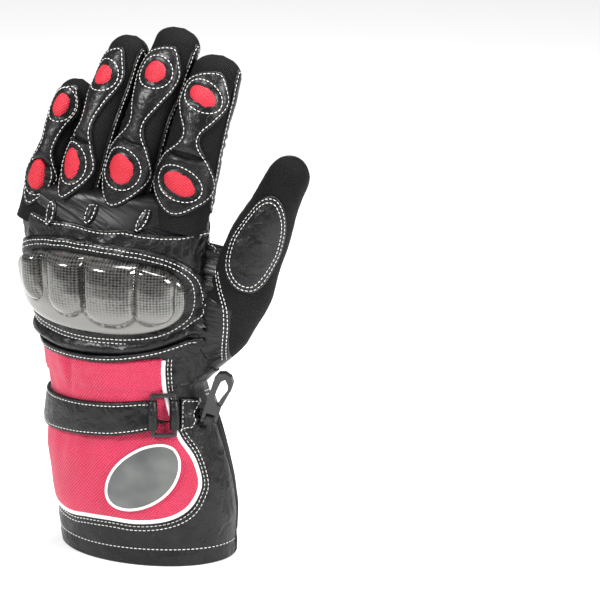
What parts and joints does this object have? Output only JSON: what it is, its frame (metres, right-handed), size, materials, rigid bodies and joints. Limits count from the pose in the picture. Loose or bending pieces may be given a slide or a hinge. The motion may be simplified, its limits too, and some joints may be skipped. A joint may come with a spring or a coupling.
{
  "type": "ski glove",
  "caption": "Insulated gauntlet glove for the left hand, with armoured curling fingers, hard knuckle guard, wrist strap with buckle and a clip hook.",
  "frame": {"origin": "centre of the cuff's mouth, on the plane that its rim stands on", "axes": "+Z from the cuff to the fingertips, -Y out of the back of the hand, +X to the thumb side"},
  "size_m": [0.1708, 0.0833, 0.3001],
  "materials": {
    "leather_black": "fine grained, soft gloss",
    "textile_black": "coarse plain weave, matt",
    "red_fabric": "coarse plain weave nylon, matt",
    "carbon_guard": "clear gloss over carbon weave",
    "white_piping": "smooth cord piping",
    "reflective_grey": "smooth satin foil",
    "plastic_black": "moulded, soft gloss",
    "lining": "brushed fleece",
    "foam": "closed cell foam",
    "loop_tape": "woven loop pile",
    "elastic": "ribbed elastic",
    "webbing": "woven nylon tape"
  },
  "bodies": {
    "cuff": {"cuff_back_leather": "leather_black", "red_cuff_panel": "red_fabric", "cuff_palm_textile": "textile_black", "cuff_lining": "lining", "white_piping": "white_piping", "emblem_patch": "reflective_grey", "wrist_elastic": "elastic", "strap_base_band": "loop_tape", "buckle_tab": "leather_black", "hook_loop": "webbing"},
    "hand": {"palm_leather": "leather_black", "palm_heel_patch": "leather_black", "knuckle_textile": "textile_black", "back_leather": "leather_black", "knuckle_guard": "carbon_guard", "guard_surround": "leather_black", "guard_foam": "foam", "wrist_roll": "leather_black", "red_wrist_panel": "red_fabric", "hand_lining": "lining", "thumb_saddle": "textile_black"},
    "thumb": {"thumb_palm": "leather_black", "thumb_back": "textile_black", "thumb_patch": "leather_black"},
    "buckle": {"buckle": "plastic_black"},
    "strap": {"strap": "leather_black"},
    "snap_hook": {"snap_hook": "plastic_black"},
    "hook_gate": {"hook_gate": "plastic_black"},
    "index_lower": {"index_lower_palm": "leather_black", "index_lower_back": "textile_black", "index_lower_armour": "leather_black", "index_lower_pad": "red_fabric"},
    "index_upper": {"index_upper_palm": "leather_black", "index_upper_back": "textile_black", "index_upper_armour": "leather_black", "index_upper_pad": "red_fabric"},
    "middle_lower": {"middle_lower_palm": "leather_black", "middle_lower_back": "textile_black", "middle_lower_armour": "leather_black", "middle_lower_pad": "red_fabric"},
    "middle_upper": {"middle_upper_palm": "leather_black", "middle_upper_back": "textile_black", "middle_upper_armour": "leather_black", "middle_upper_pad": "red_fabric"},
    "ring_lower": {"ring_lower_palm": "leather_black", "ring_lower_back": "textile_black", "ring_lower_armour": "leather_black", "ring_lower_pad": "red_fabric"},
    "ring_upper": {"ring_upper_palm": "leather_black", "ring_upper_back": "textile_black", "ring_upper_armour": "leather_black", "ring_upper_pad": "red_fabric"},
    "little_lower": {"little_lower_palm": "leather_black", "little_lower_back": "textile_black", "little_lower_armour": "leather_black", "little_lower_pad": "red_fabric"},
    "little_upper": {"little_upper_palm": "leather_black", "little_upper_back": "textile_black", "little_upper_armour": "leather_black", "little_upper_pad": "red_fabric"}
  },
  "joints": [
    {"name": "wrist_flex", "type": "hinge", "parent": "cuff", "child": "hand", "pos_m": [-0.012, 0, 0.104], "axis": [-1, 0, 0], "range_deg": [-8, 20], "stiffness_Nm_per_rad": 0.4},
    {"name": "index_knuckle_curl", "type": "hinge", "parent": "hand", "child": "index_lower", "pos_m": [0.0195, 0.001, 0.206], "axis": [-1, 0, 0], "range_deg": [0, 60], "stiffness_Nm_per_rad": 0.03},
    {"name": "index_middle_curl", "type": "hinge", "parent": "index_lower", "child": "index_upper", "pos_m": [0.0263, 0.00994, 0.24751], "axis": [-0.9869, 0, 0.1616], "range_deg": [0, 70], "stiffness_Nm_per_rad": 0.02},
    {"name": "middle_knuckle_curl", "type": "hinge", "parent": "hand", "child": "middle_lower", "pos_m": [-0.015, 0.001, 0.206], "axis": [-1, 0, 0], "range_deg": [0, 60], "stiffness_Nm_per_rad": 0.03},
    {"name": "middle_middle_curl", "type": "hinge", "parent": "middle_lower", "child": "middle_upper", "pos_m": [-0.00419, 0.01077, 0.25068], "axis": [-0.972, 0, 0.2351], "range_deg": [0, 70], "stiffness_Nm_per_rad": 0.02},
    {"name": "ring_knuckle_curl", "type": "hinge", "parent": "hand", "child": "ring_lower", "pos_m": [-0.0415, 0.001, 0.206], "axis": [-1, 0, 0], "range_deg": [0, 60], "stiffness_Nm_per_rad": 0.03},
    {"name": "ring_middle_curl", "type": "hinge", "parent": "ring_lower", "child": "ring_upper", "pos_m": [-0.03138, 0.01015, 0.24783], "axis": [-0.972, 0, 0.2351], "range_deg": [0, 70], "stiffness_Nm_per_rad": 0.02},
    {"name": "little_knuckle_curl", "type": "hinge", "parent": "hand", "child": "little_lower", "pos_m": [-0.0664, 0.004, 0.2], "axis": [-1, 0, 0], "range_deg": [0, 60], "stiffness_Nm_per_rad": 0.03},
    {"name": "little_middle_curl", "type": "hinge", "parent": "little_lower", "child": "little_upper", "pos_m": [-0.05903, 0.01086, 0.23143], "axis": [-0.9736, 0, 0.2284], "range_deg": [0, 70], "stiffness_Nm_per_rad": 0.02},
    {"name": "thumb_curl", "type": "hinge", "parent": "hand", "child": "thumb", "pos_m": [0.053, 0.004, 0.164], "axis": [-0.851, -0.3401, 0.4001], "range_deg": [0, 35], "stiffness_Nm_per_rad": 0.05},
    {"name": "buckle_tilt", "type": "hinge", "parent": "cuff", "child": "buckle", "pos_m": [0.02436, -0.02451, 0.09], "axis": [-0.0712, 0.1584, 0.9848], "range_deg": [0, 25]},
    {"name": "strap_peel", "type": "hinge", "parent": "buckle", "child": "strap", "pos_m": [0.01304, -0.02959, 0.09], "axis": [-0.0712, 0.1584, 0.9848], "range_deg": [0, 110]},
    {"name": "hook_swivel", "type": "hinge", "parent": "cuff", "child": "snap_hook", "pos_m": [0.0405, -0.0125, 0.0845], "axis": [0.9204, 0.2406, -0.3081], "range_deg": [0, 75]},
    {"name": "gate_press", "type": "hinge", "parent": "snap_hook", "child": "hook_gate", "pos_m": [0.04783, -0.01308, 0.09557], "axis": [0.1926, -0.965, -0.178], "range_deg": [0, 12], "stiffness_Nm_per_rad": 0.02, "springref_deg": -5.73}
  ]
}
